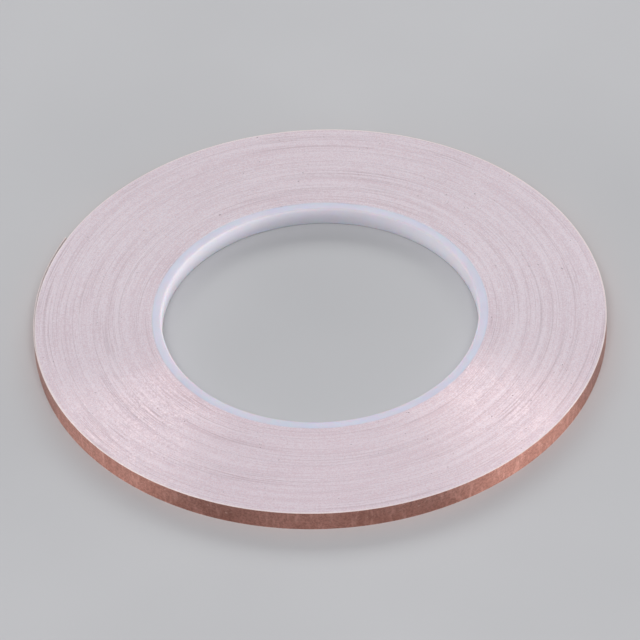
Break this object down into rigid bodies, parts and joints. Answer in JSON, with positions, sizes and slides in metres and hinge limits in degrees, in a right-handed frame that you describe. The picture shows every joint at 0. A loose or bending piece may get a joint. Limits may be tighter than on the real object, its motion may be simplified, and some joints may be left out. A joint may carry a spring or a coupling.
{
  "type": "copper foil tape roll",
  "caption": "Flat roll of narrow adhesive copper foil tape with paper liner on a pale plastic core, for stained glass work; its free end peels up from the roll.",
  "frame": {"origin": "on the roll's axis, at the lower flat face that the roll lies on", "axes": "+Z along the core's bore, up; +X and +Y in the plane of the roll, with the free end's foot at azimuth 190 degrees and its tip at 153 degrees"},
  "size_m": [0.1376, 0.1375, 0.005],
  "materials": {
    "core_plastic": "satin",
    "double_sided_tape": "matte",
    "wound_edges": "matte",
    "liner_paper": "matte",
    "adhesive": "satin",
    "copper_foil": "satin"
  },
  "bodies": {
    "roll": {"core": "core_plastic", "starter_tape": "double_sided_tape", "wound_turns": "wound_edges", "liner_last_turn": "liner_paper", "adhesive_last_turn": "adhesive", "foil_last_turn": "copper_foil"},
    "foil_tail": {"adhesive_free_end": "adhesive", "foil_free_end": "copper_foil"},
    "liner_tail": {"liner_free_end": "liner_paper"}
  },
  "joints": [
    {"name": "foil_lift", "type": "hinge", "parent": "roll", "child": "foil_tail", "pos_m": [-0.06785, -0.01191, 0.0025], "axis": [0, 0, 1], "range_deg": [0, 90]},
    {"name": "liner_lift", "type": "hinge", "parent": "roll", "child": "liner_tail", "pos_m": [-0.06777, -0.0119, 0.0025], "axis": [0, 0, 1], "range_deg": [0, 40]}
  ],
  "couplings": [
    {"joint": "liner_lift", "follows": "foil_lift", "ratio": 0.4444}
  ]
}
